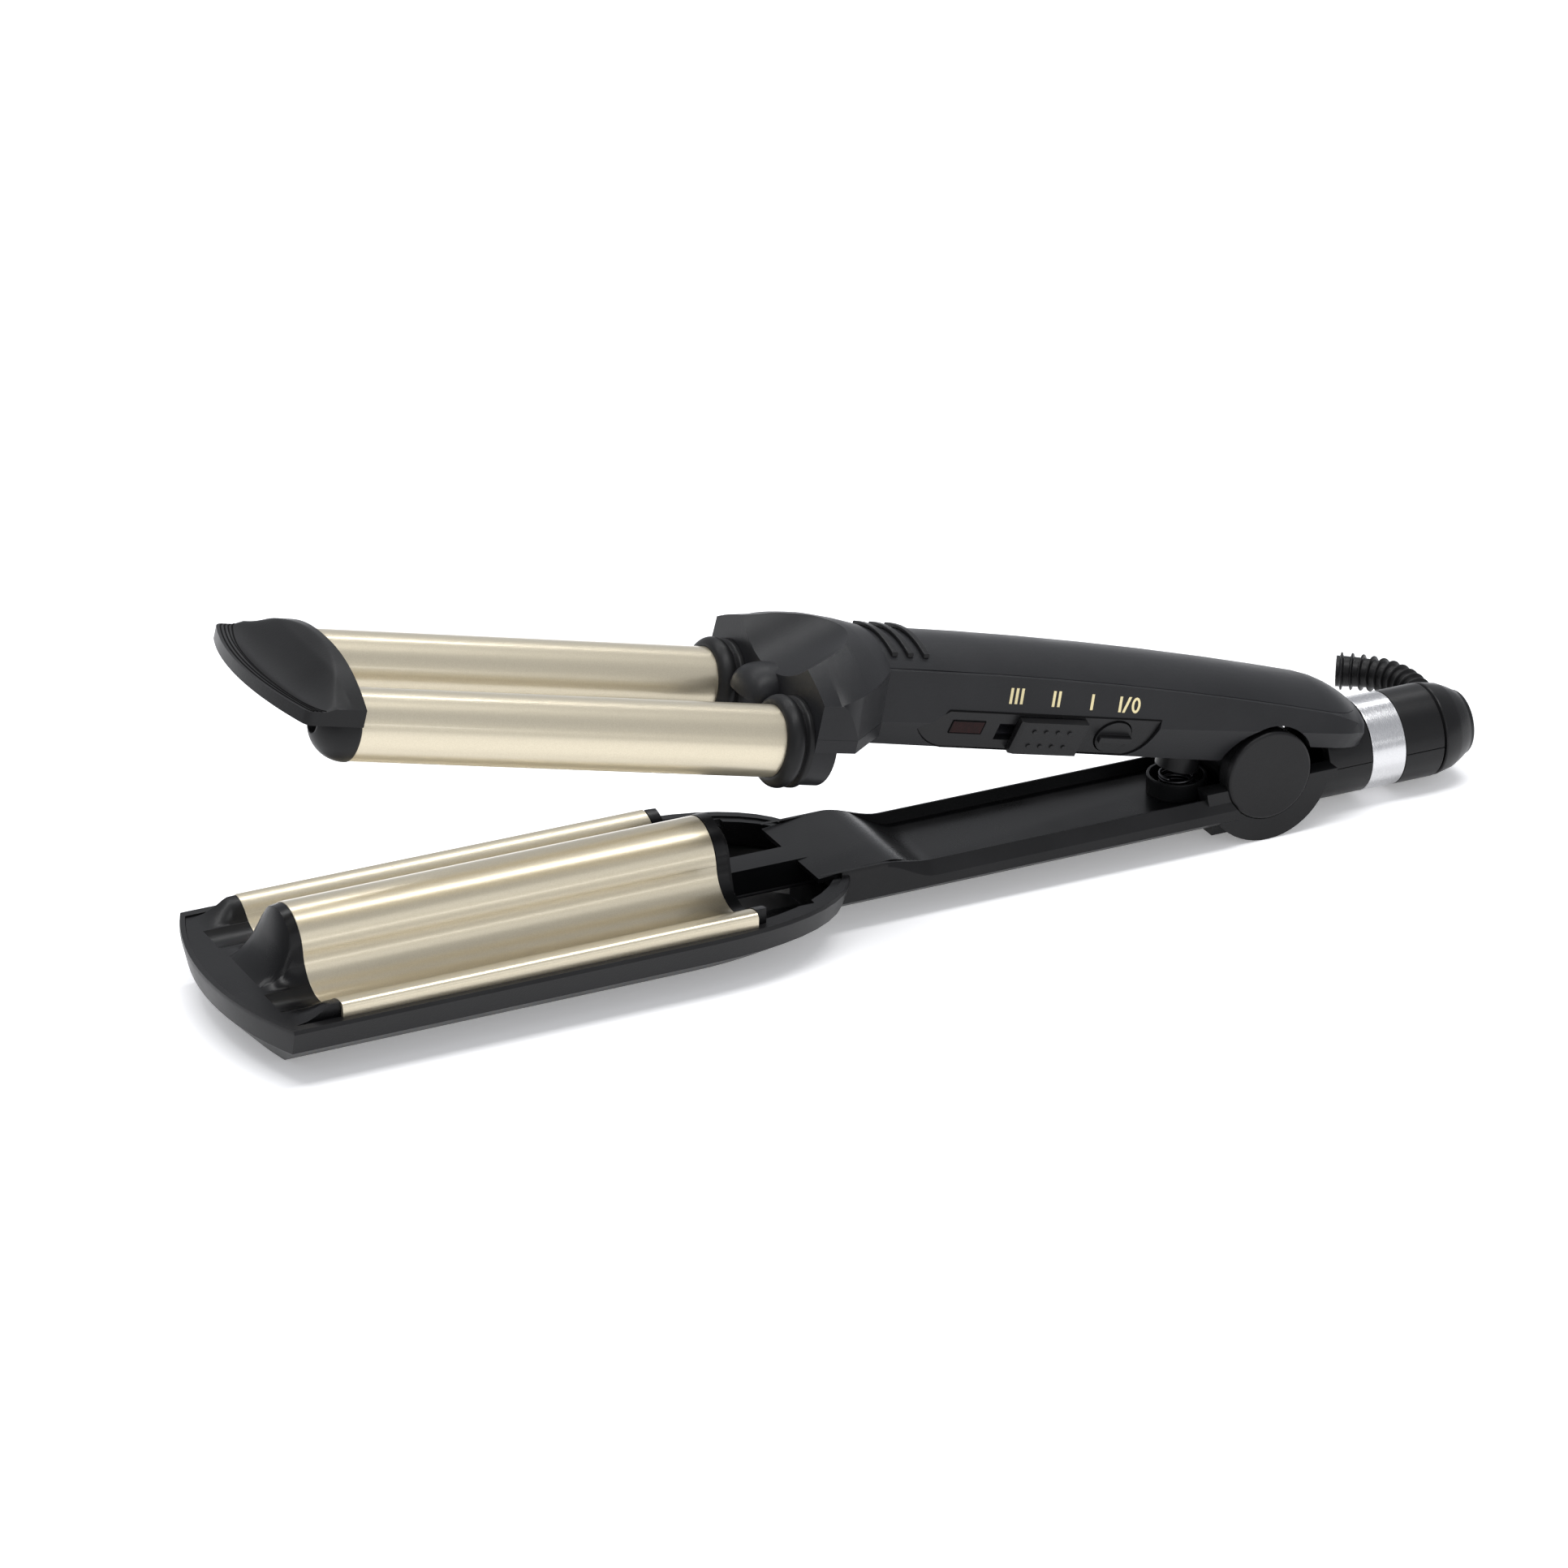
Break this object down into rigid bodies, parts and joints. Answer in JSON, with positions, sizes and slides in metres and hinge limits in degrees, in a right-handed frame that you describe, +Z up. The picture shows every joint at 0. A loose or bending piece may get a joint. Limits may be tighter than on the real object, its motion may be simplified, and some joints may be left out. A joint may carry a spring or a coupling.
{
  "type": "hair crimper",
  "caption": "Hair waver with a barrelled upper arm that closes on a wave-shaped hot plate, a sprung hinge, a slider, a button and a swivelling cord boot.",
  "frame": {"origin": "middle of the flat underside of the plate housing, under the middle of the wave plate, on the table surface", "axes": "+X towards the cord end, along the lower arm; +Z up, the way the arms open"},
  "size_m": [0.3526, 0.081, 0.1021],
  "materials": {
    "black_plastic": "satin soft-touch",
    "inner_black": "semi-gloss",
    "charcoal_plastic": "satin soft-touch",
    "control_plastic": "fine satin",
    "rubber": "matt",
    "gold_coat": "champagne metallic coat",
    "steel": "brushed round",
    "ceramic": "matt",
    "red_lens": "clear gloss",
    "lamp_glass": "gloss",
    "board": "satin",
    "switch_body": "matt",
    "wire": "satin"
  },
  "bodies": {
    "lower_arm": {"lower_shell": "black_plastic", "plate_frame": "inner_black", "wave_plate": "gold_coat", "plate_heater": "ceramic", "heater_clamp": "steel", "thermal_fuse": "steel", "lower_leads": "wire", "frame_screws": "steel", "tail_cover": "black_plastic", "steel_ring": "steel", "collar_upper": "black_plastic", "collar_lower": "black_plastic", "spring_cup": "black_plastic", "hinge_pin": "steel", "hinge_cap_near": "black_plastic", "hinge_cap_far": "black_plastic", "return_spring": "steel"},
    "upper_arm": {"upper_base": "charcoal_plastic", "handle_cover": "charcoal_plastic", "grip_ribs": "rubber", "head_cover": "charcoal_plastic", "tip_cap": "rubber", "tip_screws": "steel", "barrel_near": "gold_coat", "barrel_far": "gold_coat", "barrel_heater_near": "ceramic", "barrel_heater_far": "ceramic", "barrel_ring_near": "rubber", "barrel_ring_far": "rubber", "switch_panel": "control_plastic", "indicator_lens": "red_lens", "indicator_lamp": "lamp_glass", "circuit_board": "board", "slide_switch": "switch_body", "push_switch": "switch_body", "upper_leads": "wire", "base_screws": "steel", "spring_post": "black_plastic"},
    "temp_slider_body": {"temp_slider": "control_plastic"},
    "power_button_body": {"power_button": "control_plastic"},
    "cord_swivel": {"swivel_cone": "black_plastic", "swivel_retainer": "steel", "cord_boot": "rubber"}
  },
  "joints": [
    {"name": "arm_hinge", "type": "hinge", "parent": "lower_arm", "child": "upper_arm", "pos_m": [0.2074, 0, 0.018], "axis": [0, -1, 0], "range_deg": [0, 13.6], "stiffness_Nm_per_rad": 1.2, "springref_deg": -20.05, "deforming": ["return_spring"]},
    {"name": "temp_slide", "type": "slide", "parent": "upper_arm", "child": "temp_slider_body", "axis": [-0.972, 0, 0.2351], "range_m": [0, 0.007]},
    {"name": "button_press", "type": "slide", "parent": "upper_arm", "child": "power_button_body", "axis": [0.0804, 0.9397, 0.3324], "range_m": [0, 0.0012], "stiffness_N_per_m": 600, "springref_m": -0.0005},
    {"name": "cord_turn", "type": "hinge", "parent": "lower_arm", "child": "cord_swivel", "pos_m": [0.262, 0, 0.01315], "axis": [1, 0, 0], "continuous": true}
  ]
}
